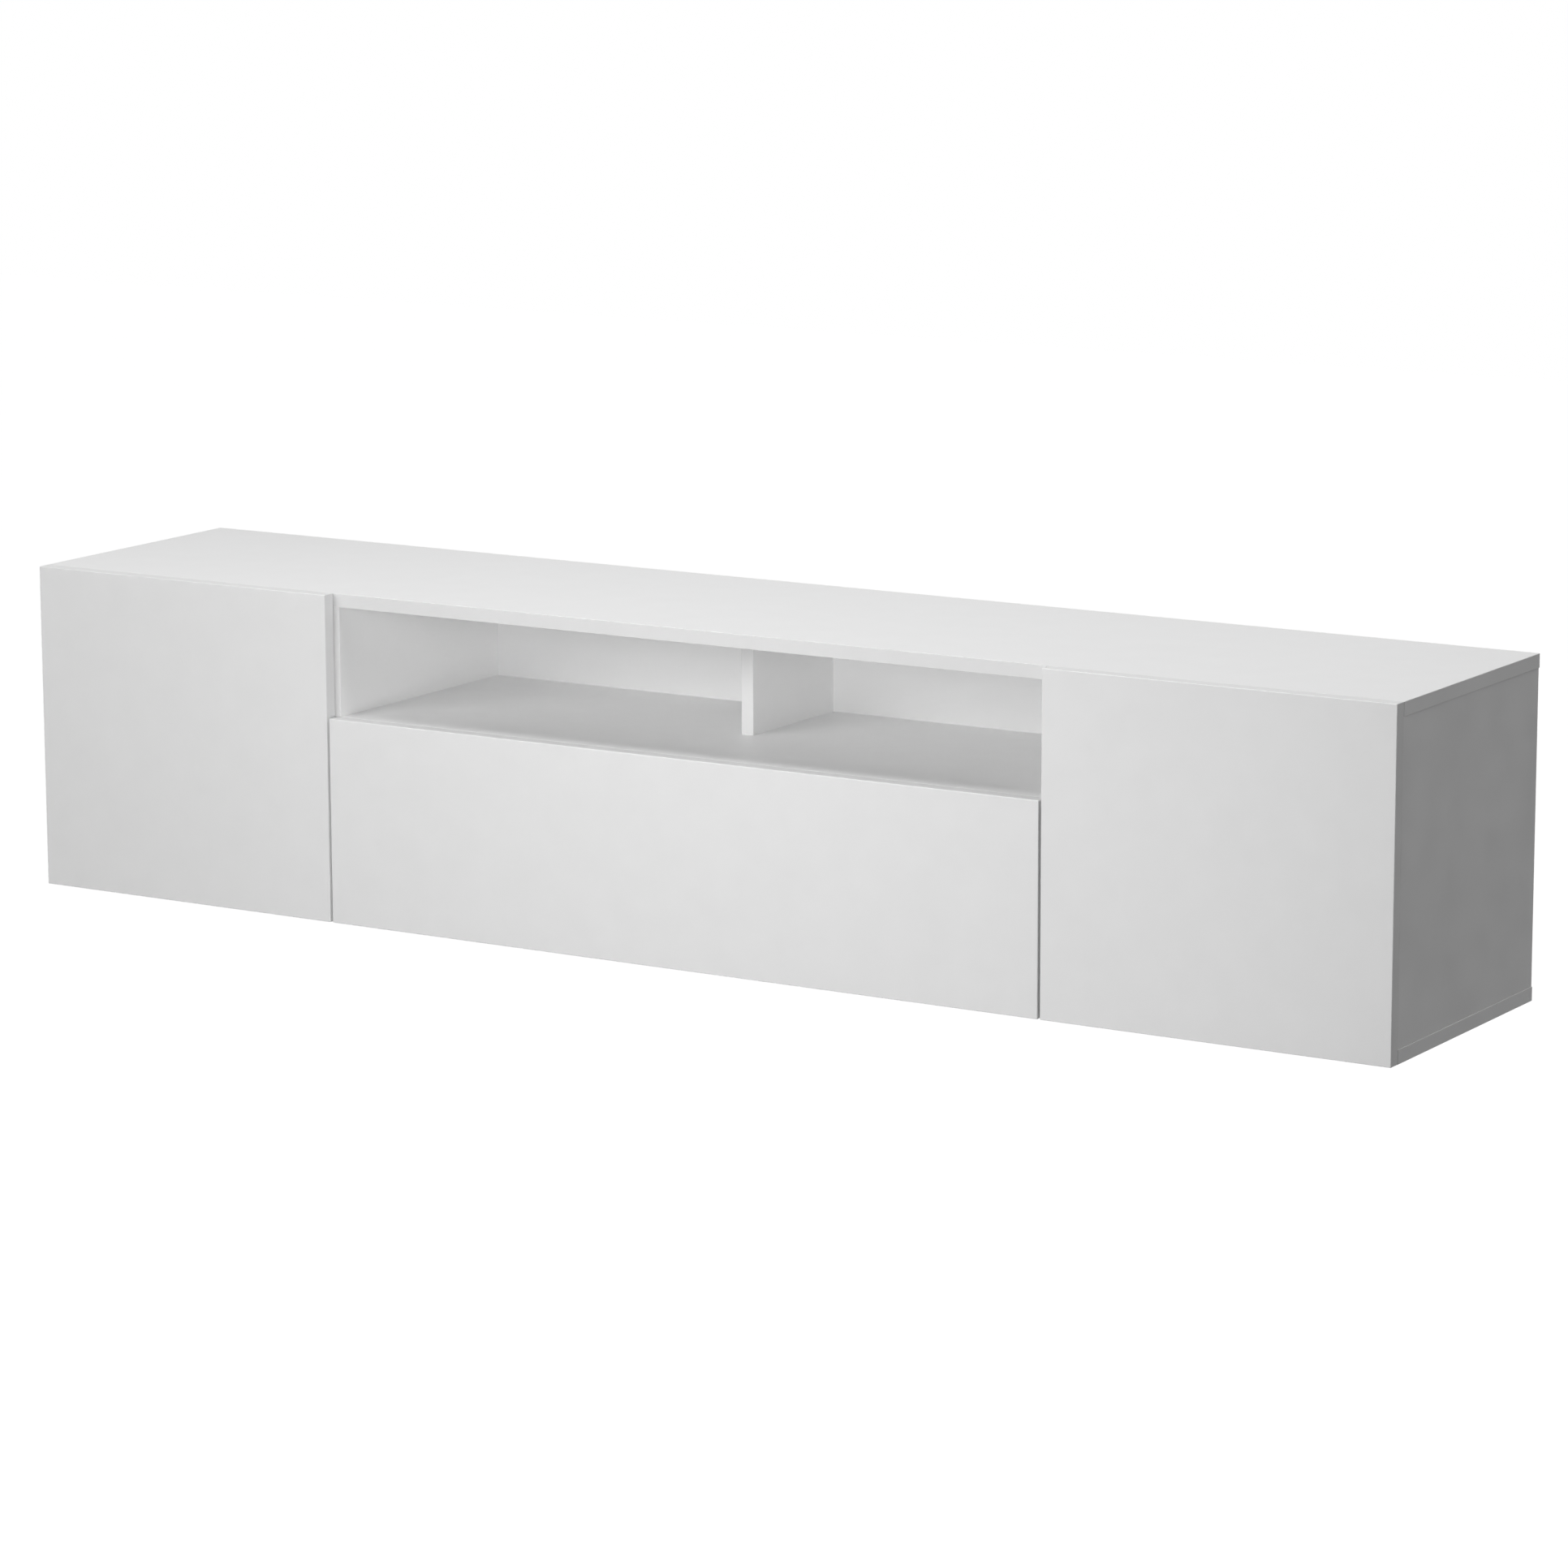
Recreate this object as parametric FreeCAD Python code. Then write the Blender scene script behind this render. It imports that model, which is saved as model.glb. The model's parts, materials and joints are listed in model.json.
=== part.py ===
"""Wall-hung media console: two side-hinged doors, a drop-down flap and an open compartment.

Frame, in millimetres: x to the right, y into the wall, z up. The wall is y = 0, and z = 0 is the line of
the wall rail's screw holes. Each function returns one node's solids, and main() writes them to parts/.
"""
import FreeCAD, Part
import math
import os

# Cabinet
width = 1800.0
height = 390.0
carcass_depth = 342.0
board = 16.0
side_inset = 1.2              # the sides are set in under the ends of the top and bottom panels
edge_round = 0.5
middle_bay = 938.0            # clear width between the partitions
flap_height = 244.0           # the shelf's top is level with the flap's top edge
divider_depth = 178.0
rail_line_drop = 56.0         # the wall rail's screw holes below the cabinet's top

# Back panel
back_board = 3.0
back_recess = 13.5            # room for the wall rail behind the back panel
groove_depth = 5.0
groove_fit = 0.15
hook_window_width = 26.0

# Fronts
front_board = 16.0
closing_gap = 0.9
front_gap = 3.0               # between a door and the flap
flap_overlay = 5.0            # how far the flap covers a partition's front edge
front_round = 1.0

# Knock-down fittings
bolt_from_front = 100.0
bolt_from_rear = 80.0
bolt_radius = 3.0
bolt_thread_radius = 2.4
bolt_thread_length = 11.0
cam_radius = 7.5
cam_from_end = 34.0
cam_below_bolt = 4.5
dowel_radius = 4.0
dowel_length = 30.0
dowel_in_face = 11.0
dowel_offset = 32.0           # from the bolt beside it
cam_cross_reach = 4.1
cam_cross_half = 0.9
cam_cross_depth = 1.5
fitting_fit = 0.1
divider_screw_radius = 2.5
divider_screw_length = 45.0
divider_hole_from_end = 40.0

# Adjustable shelves
shelf_setback = 22.0
shelf_end_gap = 0.6
shelf_rear_gap = 2.0
shelf_pin_radius = 2.5
shelf_pin_depth = 9.0
shelf_pin_reach = 8.0
shelf_pin_block = 7.0
shelf_pin_from_front = 60.0
shelf_pin_from_rear = 60.0
shelf_hole_step = 32.0
shelf_hole_steps = (-2, -1, 0, 1, 2)

# Concealed hinges, in a plan view of their own: x from the board's inner face, y from the carcass front edge
hinge_inset = 70.0            # from a door's top and bottom edge
flap_hinge_offset = 380.0     # from the middle hinge to the outer ones
arm_pivot = (28.0, 6.4)
arm_tip_pivot = (10.3, -9.3)
cup_near_pivot = (-5.6, -1.6)      # y counts from the front's inner face
cup_deep_pivot = (-4.6, -5.4)
inner_link_knee = (2.5, -2.7)      # bends the link round the board's corner
outer_link_knee = (2.7, -8.6)
hinge_pin_radius = 1.1
pin_fit = 0.05
open_pivot_fit = 1.05         # the outer link's eye on the cup's deep pin
link_half_width = 1.4
eye_radius = 2.1
open_eye_radius = 3.0
tongue_half = 1.4
tongue_radius = 1.7
link_side_gap = 0.2
outer_link_half = 3.3
nose_half = 3.4
inner_link_start = 3.8
inner_link_end = 5.6
fork_radius = 5.5
arm_pin_past = 0.5            # the arm's pins run on past the links
tip_pin_past = 0.1
arm_shoulder = (16.0, 2.5)
arm_root = (13.0, 14.0)
arm_crown = (15.0, 18.0)
arm_web_front = 12.0
arm_cheek_front = 16.0
cup_centre = 6.5
cup_radius = 17.5
cup_wall = 1.0
cup_depth = 12.5
cup_fit = 0.1
flange_radius = 19.0
flange_thickness = 1.0
flange_half_length = 28.0
flange_wing_start = 2.0       # the screw wing, from the cup's centre
flange_past_screws = 6.0
flange_round = 3.0
cup_screw_offset = 9.5
cup_screw_spacing = 45.0
cup_screw_radius = 1.6
cup_screw_length = 12.0
plate_line = 37.0             # the plate screws' line behind the carcass front edge
plate_screw_spacing = 32.0
plate_screw_radius = 2.4
plate_screw_length = 12.0
plate_thickness = 2.5
plate_half_length = 23.0
plate_half_width = 9.0
plate_round = 4.0
foot_before_adjuster = 6.0
foot_short_of_arm = 2.0
spine_half_width = 6.0
spine_top = 12.5
arm_rear = 62.0
arm_half_width = 8.0
arm_wall = 1.2
arm_top = 17.0
adjuster_radius = 2.5
adjuster_lines = (26.0, 50.0)
adjuster_clearance = 0.1
adjuster_head_over = 1.2
adjuster_head_height = 1.4
adjuster_slot_depth = 0.9
adjuster_slot_half = 0.4

# Push-to-open latches
latch_width = 13.0
latch_length = 62.0
latch_from_partition = 40.0
latch_setback = 1.0
latch_round = 1.2
latch_ear = 7.0
latch_ear_start = 30.0
latch_ear_length = 14.0
latch_ear_thickness = 2.0
latch_screw_offset = 3.8      # from the housing's side
flap_latch_offset = 250.0
plunger_radius = 3.6
plunger_fit = 0.08
plunger_length = 46.0
plunger_tip_gap = 0.15
plunger_round = 0.6
plunger_bore_past = 2.0
strike_radius = 8.0
strike_thickness = 1.0
strike_fit = 0.05

# Flap stays, heights from the bottom panel's top face and depths from the carcass front edge
stay_flap_pivot = (141.5, 13.2)
stay_guide = (118.9, 80.6)
stay_slot_end = 264.0         # the slot's far centre from the flap pivot
stay_slot_start = 70.8
stay_half_width = 6.0
stay_thickness = 2.0
stay_gap = 0.3
guide_base_radius = 9.0
guide_base_thickness = 3.0
guide_pin_radius = 2.9
guide_head_radius = 5.5
guide_head_thickness = 3.0
guide_slot_fit = 0.25
stay_pin_radius = 2.5
stay_pin_fit = 0.05
bracket_thickness = 2.0
bracket_foot_width = 26.0
bracket_foot_half_height = 17.0
bracket_ear_radius = 8.0
bracket_screw_from_end = 6.0
bracket_collar_over = 1.5
guide_head_round = 0.6
guide_thread_under = 0.4      # the thread's radius under the pin's
small_screw_radius = 1.5
small_screw_length = 11.0

# Wall rail and cabinet hangers
rail_half_length = 850.0
rail_steel = 2.0
rail_foot = 18.0
rail_step = 14.0
rail_offset = 6.0             # clear space behind the lip
rail_lip = 16.0
rail_hole_radius = 3.5
rail_hole_inner_line = 300.0  # from the cabinet's middle
rail_hole_from_end = 50.0
hook_width = 10.0
hook_steel = 3.0
hook_drop = 10.0
hook_arm_height = 4.0
hook_wall_gap = 1.5
hanger_depth = 46.0
hanger_height = 50.0
hanger_width = 18.0
hanger_wall = 2.0
hanger_top_gap = 1.0
hanger_screw_radius = 3.0
hanger_round = 2.0
hanger_screw_inside = 6.0     # how far the adjusting screws reach past the hanger's front wall
hanger_lift_line = 12.0
hanger_slot_depth = 1.2
hanger_slot_sizes = ((2.2, 0.5), (0.5, 2.2))
hanger_fixing_places = ((-12.0, -16.0), (12.0, -16.0))
hook_heel_length = 8.0
hook_heel_height = 2.0
hook_leg_below = 4.0

# Screw heads
head_flare = 1.9              # a countersunk head's radius over its shank's
recess_half_width = 0.35
recess_depth = 0.8

# Places that follow from the sizes above
z_top = rail_line_drop
z_bottom = z_top - height
z_floor = z_bottom + board                      # top face of the bottom panel
z_ceiling = z_top - board                       # underside of the top panel
z_shelf_top = z_bottom + flap_height
z_shelf = z_shelf_top - board
y_front = -carcass_depth
y_back_rear = -back_recess
y_back_front = y_back_rear - back_board
y_front_inner = y_front - closing_gap
y_front_outer = y_front_inner - front_board
x_end = width / 2
x_side_out = x_end - side_inset
x_side_in = x_side_out - board
x_part_in = middle_bay / 2
x_part_out = x_part_in + board
x_flap = x_part_in + flap_overlay
x_door_in = x_flap + front_gap
bolt_lines = (y_front + bolt_from_front, -bolt_from_rear)
rail_hole_lines = (rail_hole_inner_line, rail_half_length - rail_hole_from_end)
overrun = 1.0                                   # how far a cutter runs past a face
hair = 0.01


def vec(x, y, z):
    return FreeCAD.Vector(x, y, z)


axis_x, axis_y, axis_z = vec(1, 0, 0), vec(0, 1, 0), vec(0, 0, 1)
origin = vec(0, 0, 0)


def box(x0, x1, y0, y1, z0, z1):
    return Part.makeBox(x1 - x0, y1 - y0, z1 - z0, vec(x0, y0, z0))


def rod(radius, length, start, direction):
    return Part.makeCylinder(radius, length, start, direction)


def fuse(first, *others):
    return first.multiFuse(list(others)).removeSplitter()


def cut(shape, cutters):
    return shape.cut(Part.makeCompound(cutters)) if cutters else shape


def mirrored(shape):
    return shape.mirror(origin, axis_x)


def moved(shape, x, y, z):
    copy = shape.copy()
    copy.translate(vec(x, y, z))
    return copy


def rounded(shape, radius, wanted):
    """Fillet the edges whose centre passes the test."""
    edges = [edge for edge in shape.Edges if wanted(edge.CenterOfMass)]
    return shape.makeFillet(radius, edges)


def outline(points, z0, z1):
    """Prism over a closed polygon of plan points."""
    corners = [vec(x, y, z0) for x, y in points]
    return Part.Face(Part.makePolygon(corners + corners[:1])).extrude(vec(0, 0, z1 - z0))


def bar(start, end, radius, z0, z1):
    """Flat bar with round ends between two plan points."""
    run = vec(end[0] - start[0], end[1] - start[1], 0)
    side = run.cross(axis_z).normalize() * radius
    corners = [(start[0] + side.x, start[1] + side.y), (end[0] + side.x, end[1] + side.y),
               (end[0] - side.x, end[1] - side.y), (start[0] - side.x, start[1] - side.y)]
    ends = [rod(radius, z1 - z0, vec(x, y, z0), axis_z) for x, y in (start, end)]
    return fuse(outline(corners, z0, z1), *ends)


def both_sides(make):
    """The same shape above and below the plan's middle plane."""
    return [make(1), make(-1)]


def countersunk(radius, length, head, direction):
    """Screw with a flush cone head and a cross recess; head is the centre of its top."""
    depth = head_flare
    cone = Part.makeCone(radius + head_flare, radius, depth, head, direction)
    shank = rod(radius, length - depth, head + direction * depth, direction)
    screw = fuse(cone, shank)
    across = [axis for axis in (axis_x, axis_y, axis_z) if abs(axis.dot(direction)) < hair]
    reach = radius + head_flare / 2
    slots = []
    for long_axis, short_axis in (across, across[::-1]):
        size = long_axis * reach + short_axis * recess_half_width + direction * recess_depth
        corner = head - long_axis * reach - short_axis * recess_half_width
        far = head + size
        slots.append(box(min(corner.x, far.x), max(corner.x, far.x), min(corner.y, far.y),
                         max(corner.y, far.y), min(corner.z, far.z), max(corner.z, far.z)))
    return cut(screw, slots)


def screw_hole(radius, length, head, direction, fit=fitting_fit):
    """Negative of a countersunk screw, with clearance."""
    start = head - direction * overrun
    mouth = radius + fit + head_flare + overrun
    cone = Part.makeCone(mouth, radius + fit, head_flare + overrun, start, direction)
    return fuse(cone, rod(radius + fit, length + fit, head, direction))


# Knock-down fittings

def upright_joints():
    """Where an upright's end meets a panel: (middle x, cam side, panel face z, way into the upright)."""
    joints = []
    for side in (-1, 1):
        for x_middle, cam_side in ((x_side_out - board / 2, -1), (x_part_out - board / 2, 1)):
            for z_face, way in ((z_floor, 1), (z_ceiling, -1)):
                joints.append((side * x_middle, side * cam_side, z_face, way))
    return joints


def bolt(start, way):
    """Cam bolt: thread in the panel behind start, shank and head in front of it."""
    thread = rod(bolt_thread_radius, bolt_thread_length, start - way * bolt_thread_length, way)
    neck_length = cam_from_end - bolt_radius
    neck = rod(bolt_thread_radius, neck_length, start, way)
    collar = rod(bolt_radius, cam_from_end - cam_radius - 2 * bolt_radius, start, way)
    head = rod(bolt_radius, bolt_radius, start + way * neck_length, way)
    return fuse(thread, neck, collar, head)


def bolt_holes(start, way):
    """(hole in the panel's face, hole in the upright's end)"""
    face = rod(bolt_thread_radius + fitting_fit, bolt_thread_length + fitting_fit + overrun,
               start + way * overrun, way * -1)
    end = rod(bolt_radius + fitting_fit, cam_from_end + overrun, start - way * overrun, way)
    return face, end


def cam(centre, face_way, bolt_way, depth_to_face):
    """Cam lock: a disc let in from a face, hollowed for the bolt's head, with a cross on its outer side."""
    length = depth_to_face + cam_below_bolt
    base = centre - face_way * cam_below_bolt
    body = rod(cam_radius, length, base, face_way)
    socket = rod(bolt_radius + fitting_fit, cam_radius + bolt_radius + fitting_fit,
                 centre - bolt_way * cam_radius, bolt_way)
    side_way = face_way.cross(bolt_way)
    top = centre + face_way * depth_to_face
    slots = []
    for long_way, short_way in ((bolt_way, side_way), (side_way, bolt_way)):
        half = long_way * cam_cross_reach + short_way * cam_cross_half
        low, high = top - half - face_way * cam_cross_depth, top + half
        slots.append(box(min(low.x, high.x), max(low.x, high.x), min(low.y, high.y), max(low.y, high.y),
                         min(low.z, high.z), max(low.z, high.z)))
    return cut(body, [socket] + slots)


def cam_pocket(centre, face_way, depth_to_face):
    base = centre - face_way * (cam_below_bolt + fitting_fit)
    return rod(cam_radius + fitting_fit, depth_to_face + cam_below_bolt + overrun, base, face_way)


def shelf_joints():
    """Where the shelf's ends meet the partitions: (end x, way into the shelf)."""
    return [(side * x_part_in, -side) for side in (-1, 1)]


def fitting_places():
    """Every cam joint: (bolt start, way into the joined board, way to its face, name of the joined board)."""
    places = []
    for y in bolt_lines:
        for x, cam_side, z_face, way in upright_joints():
            places.append((vec(x, y, z_face), axis_z * way, axis_x * cam_side))
        for x_face, way in shelf_joints():
            places.append((vec(x_face, y, z_shelf + board / 2), axis_x * way, axis_z * -1))
    return places


def cam_bolts():
    return [bolt(start, way) for start, way, _ in fitting_places()]


def cam_locks():
    return [cam(start + way * cam_from_end, face_way, way, board / 2)
            for start, way, face_way in fitting_places()]


def dowel_places():
    """(centre of the joint face, way into the joined board)"""
    places = []
    for y in bolt_lines:
        inward = dowel_offset if y == bolt_lines[0] else -dowel_offset
        for start, way, _ in fitting_places():
            if start.y == y:
                places.append((start + axis_y * inward, way))
    for y in divider_lines():
        places.append((vec(0, y, z_ceiling), axis_z * -1))
    return places


def divider_lines():
    rear, front = y_back_front, y_back_front - divider_depth
    return (front + divider_hole_from_end, rear - divider_hole_from_end)


def dowels():
    return [rod(dowel_radius, dowel_length, start - way * dowel_in_face, way) for start, way in dowel_places()]


def dowel_cutters():
    """Both boards of a joint are cut with the same shape, so each dowel's hole lines up."""
    fit = fitting_fit
    return [rod(dowel_radius + fit, dowel_length + 2 * fit, start - way * (dowel_in_face + fit), way)
            for start, way in dowel_places()]


def fitting_cutters():
    cutters = dowel_cutters()
    for start, way, face_way in fitting_places():
        cutters.extend(bolt_holes(start, way))
        cutters.append(cam_pocket(start + way * cam_from_end, face_way, board / 2))
    return cutters


def divider_screw_places():
    return [vec(0, y, z_shelf) for y in divider_lines()]


def divider_screws():
    return [countersunk(divider_screw_radius, divider_screw_length, head, axis_z)
            for head in divider_screw_places()]


def divider_screw_cutters():
    return [screw_hole(divider_screw_radius, divider_screw_length, head, axis_z)
            for head in divider_screw_places()]


# Hinges in their own plan view; z is along the hinge's axis

def cup_pivots():
    """The cup's two pins in the hinge's plan view, behind the front's inner face."""
    return [(x, y - closing_gap) for x, y in (cup_near_pivot, cup_deep_pivot)]


def flange_wing(top, fit):
    """The part of the cup's flange that its screws go through."""
    return box(cup_centre + flange_wing_start - fit, cup_centre + cup_screw_offset + flange_past_screws + fit,
               -closing_gap - flange_thickness, top, -flange_half_length - fit, flange_half_length + fit)


def hinge_cup():
    near, deep = cup_pivots()
    face = -closing_gap
    floor = face - cup_depth
    body = rod(cup_radius, cup_depth, vec(cup_centre, floor, 0), axis_y)
    rim = rod(flange_radius, flange_thickness, vec(cup_centre, face - flange_thickness, 0), axis_y)
    wing = flange_wing(face, 0.0)
    wing = rounded(wing, flange_round, lambda c: abs(abs(c.z) - flange_half_length) < hair and
                   abs(c.y - (face - flange_thickness / 2)) < hair)
    cup = fuse(body, rim, wing)
    inner = cup_radius - cup_wall
    hollow = rod(inner, cup_depth - cup_wall + overrun, vec(cup_centre, floor + cup_wall, 0), axis_y)
    holes = [screw_hole(cup_screw_radius, cup_screw_length, place, axis_y * -1) for place in cup_screw_places()]
    cup = cut(cup, [hollow] + holes)
    reach = math.sqrt(inner ** 2 - (near[0] - cup_centre) ** 2) + cup_wall / 2
    stubs = [rod(hinge_pin_radius, reach - inner_link_start + link_side_gap,
                 vec(near[0], near[1], side * (inner_link_start - link_side_gap)), axis_z * side)
             for side in (1, -1)]
    reach = math.sqrt(inner ** 2 - (deep[0] - cup_centre) ** 2) + cup_wall / 2
    pin = rod(hinge_pin_radius, 2 * reach, vec(deep[0], deep[1], -reach), axis_z)
    return fuse(cup, pin, *stubs)


def cup_screw_places():
    return [vec(cup_centre + cup_screw_offset, -closing_gap, side * cup_screw_spacing / 2) for side in (1, -1)]


def cup_screws():
    return [countersunk(cup_screw_radius, cup_screw_length, place, axis_y * -1) for place in cup_screw_places()]


def front_cutter():
    """Bore, flange recess and screw holes in a front."""
    face = -closing_gap
    bore = rod(cup_radius + cup_fit, cup_depth + cup_fit + overrun, vec(cup_centre, face + overrun, 0),
               axis_y * -1)
    depth = flange_thickness + overrun
    rim = rod(flange_radius + cup_fit, depth, vec(cup_centre, face - flange_thickness, 0), axis_y)
    wing = flange_wing(face + overrun, cup_fit)
    holes = [screw_hole(cup_screw_radius, cup_screw_length, place, axis_y * -1) for place in cup_screw_places()]
    return fuse(bore, rim, wing, *holes)


def hinge_arm():
    tongue = fuse(bar(arm_pivot, arm_tip_pivot, tongue_radius, -tongue_half, tongue_half),
                  bar(arm_shoulder, arm_tip_pivot, tongue_radius, -tongue_half, tongue_half),
                  outline([arm_pivot, arm_tip_pivot, arm_shoulder], -tongue_half, tongue_half))
    nose = fuse(bar(arm_pivot, arm_shoulder, eye_radius, -nose_half, nose_half),
                bar(arm_shoulder, arm_root, eye_radius, -nose_half, nose_half),
                bar(arm_pivot, arm_crown, eye_radius, -nose_half, nose_half),
                outline([arm_pivot, arm_shoulder, arm_root, arm_crown], -nose_half, nose_half))
    web = box(arm_top - arm_wall, arm_top, arm_web_front, arm_rear, -arm_half_width, arm_half_width)
    cheeks = both_sides(lambda side: box(plate_thickness, arm_top, arm_cheek_front, arm_rear,
                                         *sorted((side * arm_half_width, side * (arm_half_width - arm_wall)))))
    pins = []
    reaches = ((arm_pivot, inner_link_end + arm_pin_past), (arm_tip_pivot, outer_link_half + tip_pin_past))
    for place, reach in reaches:
        pins.append(rod(hinge_pin_radius, 2 * reach, vec(*place, -reach), axis_z))
    arm = fuse(web, tongue, nose, *cheeks, *pins)
    return cut(arm, adjuster_cutters())


def adjuster_cutters():
    return [rod(adjuster_radius + pin_fit, arm_top, vec(spine_top / 2, y, 0), axis_x) for y in adjuster_lines]


def adjusters():
    """The two screws that tie an arm to its plate."""
    screws = []
    foot = spine_top / 2 + adjuster_clearance
    crown = arm_top + adjuster_head_height
    for y in adjuster_lines:
        shank = rod(adjuster_radius, arm_top - foot, vec(foot, y, 0), axis_x)
        head = rod(adjuster_radius + adjuster_head_over, adjuster_head_height, vec(arm_top, y, 0), axis_x)
        slot = box(crown - adjuster_slot_depth, crown + overrun, y - adjuster_slot_half, y + adjuster_slot_half,
                   -adjuster_radius, adjuster_radius)
        screws.append(cut(fuse(shank, head), [slot]))
    return screws


def hinge_plate():
    wings = box(0, plate_thickness, plate_line - plate_half_width, plate_line + plate_half_width,
                -plate_half_length, plate_half_length)
    wings = rounded(wings, plate_round, lambda c: abs(abs(c.z) - plate_half_length) < hair and
                    abs(c.x - plate_thickness / 2) < hair)
    start, end = adjuster_lines[0] - foot_before_adjuster, arm_rear - foot_short_of_arm
    foot = box(0, plate_thickness, start, end, -arm_half_width, arm_half_width)
    spine = box(0, spine_top, start, end, -spine_half_width, spine_half_width)
    plate = fuse(wings, foot, spine)
    holes = [screw_hole(plate_screw_radius, plate_screw_length, place, axis_x * -1)
             for place in plate_screw_places()]
    return cut(plate, holes + adjuster_cutters())


def plate_screw_places():
    return [vec(plate_thickness, plate_line, side * plate_screw_spacing / 2) for side in (1, -1)]


def plate_screws():
    return [countersunk(plate_screw_radius, plate_screw_length, place, axis_x * -1)
            for place in plate_screw_places()]


def panel_cutter():
    """Screw holes for a hinge plate in the board that carries it."""
    holes = [rod(plate_screw_radius + fitting_fit, plate_screw_length + fitting_fit, place, axis_x * -1)
             for place in plate_screw_places()]
    return Part.makeCompound(holes)


def link(points, half_width, eyes, low, high):
    """A bent flat link; each eye is (plan point, outer radius, hole radius)."""
    bars = [bar(start, end, half_width, low, high) for start, end in zip(points, points[1:])]
    rings = [rod(radius, high - low, vec(*place, low), axis_z) for place, radius, _ in eyes]
    holes = [rod(hole, high - low + 2 * overrun, vec(*place, low - overrun), axis_z) for place, _, hole in eyes]
    return cut(fuse(*bars, *rings), holes)


def inner_link():
    near, _ = cup_pivots()
    hole = hinge_pin_radius + pin_fit
    eyes = [(arm_pivot, eye_radius, hole), (near, eye_radius, hole)]
    points = (arm_pivot, inner_link_knee, near)
    return both_sides(lambda side: link(points, link_half_width, eyes,
                                        *sorted((side * inner_link_start, side * inner_link_end))))


def outer_link():
    _, deep = cup_pivots()
    eyes = [(arm_tip_pivot, eye_radius, hinge_pin_radius + pin_fit),
            (deep, open_eye_radius, hinge_pin_radius + open_pivot_fit)]
    points = (arm_tip_pivot, outer_link_knee, deep)
    whole = link(points, link_half_width, eyes, -outer_link_half, outer_link_half)
    fork_half = tongue_half + link_side_gap
    return cut(whole, [rod(fork_radius, 2 * fork_half, vec(*arm_tip_pivot, -fork_half), axis_z)])


# Where each front's hinges stand

def on_left_side(shape, z):
    return moved(shape, -x_side_in, y_front, z)


def on_right_side(shape, z):
    return mirrored(on_left_side(shape, z))


def on_floor(shape, x):
    copy = shape.copy()
    copy.rotate(origin, axis_y, -90)
    return moved(copy, x, y_front, z_floor)


door_hinge_heights = (z_bottom + hinge_inset, z_top - hinge_inset)
flap_hinge_places = (-flap_hinge_offset, 0.0, flap_hinge_offset)
hinge_sets = {
    "left": (on_left_side, door_hinge_heights),
    "right": (on_right_side, door_hinge_heights),
    "flap": (on_floor, flap_hinge_places),
}


def placed(front, shapes):
    """Copies of the hinge shapes at each of a front's hinges."""
    place, spots = hinge_sets[front]
    shapes = shapes if isinstance(shapes, list) else [shapes]
    return [place(shape, spot) for spot in spots for shape in shapes]


# Latches

def latch_places():
    """name: list of (x, underside that carries the latch)"""
    x_door = x_part_out + latch_from_partition
    return {
        "left": [(-x_door, z_ceiling)],
        "right": [(x_door, z_ceiling)],
        "flap": [(-flap_latch_offset, z_shelf), (flap_latch_offset, z_shelf)],
    }


def latch_axis(place):
    x, z_carrier = place
    return x, z_carrier - latch_width / 2


def latch(place):
    x, z = latch_axis(place)
    half = latch_width / 2
    y0 = y_front + latch_setback
    ear_y0 = y_front + latch_ear_start
    body = box(x - half, x + half, y0, y0 + latch_length, z - half, z + half)
    body = rounded(body, latch_round, lambda c: abs(abs(c.x - x) - half) < hair and c.z < z)
    ears = box(x - half - latch_ear, x + half + latch_ear, ear_y0, ear_y0 + latch_ear_length,
               z + half - latch_ear_thickness, z + half)
    bore = rod(plunger_radius + plunger_fit, plunger_length + plunger_bore_past, vec(x, y_front, z), axis_y)
    return cut(fuse(body, ears), [bore] + latch_screw_cutters(place))


def latch_screw_heads(place):
    x, z = latch_axis(place)
    half = latch_width / 2
    y = y_front + latch_ear_start + latch_ear_length / 2
    return [vec(x + side * (half + latch_screw_offset), y, z + half - latch_ear_thickness) for side in (1, -1)]


def latch_screws():
    return [countersunk(small_screw_radius, small_screw_length, head, axis_z)
            for places in latch_places().values() for place in places for head in latch_screw_heads(place)]


def latch_screw_cutters(place):
    return [screw_hole(small_screw_radius, small_screw_length, head, axis_z)
            for head in latch_screw_heads(place)]


def plunger(place):
    x, z = latch_axis(place)
    tip = y_front_inner + plunger_tip_gap
    body = rod(plunger_radius, y_front + plunger_length - tip, vec(x, tip, z), axis_y)
    return rounded(body, plunger_round, lambda c: c.y < tip + hair)


def strike(place, fit=0.0):
    x, z = latch_axis(place)
    return rod(strike_radius + fit, strike_thickness, vec(x, y_front_inner, z), axis_y * -1)


# Flap stays, drawn on the right; the left one is its mirror image

def stay_point(height_and_depth):
    """A stay's plan point in the cabinet: (y, z)"""
    return y_front + height_and_depth[1], z_floor + height_and_depth[0]


def stay_plane(offset):
    """x at a distance inside the right partition's face"""
    return x_part_in - offset


arm_outer_face = guide_base_thickness + stay_gap
arm_inner_face = arm_outer_face + stay_thickness
bracket_outer_face = arm_inner_face + stay_gap
bracket_inner_face = bracket_outer_face + bracket_thickness


def along_stay(distance):
    """(y, z) on the arm's middle line, at a distance from its pivot on the flap"""
    y0, z0 = stay_point(stay_flap_pivot)
    y1, z1 = stay_point(stay_guide)
    span = math.hypot(y1 - y0, z1 - z0)
    return y0 + (y1 - y0) * distance / span, z0 + (z1 - z0) * distance / span


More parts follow.
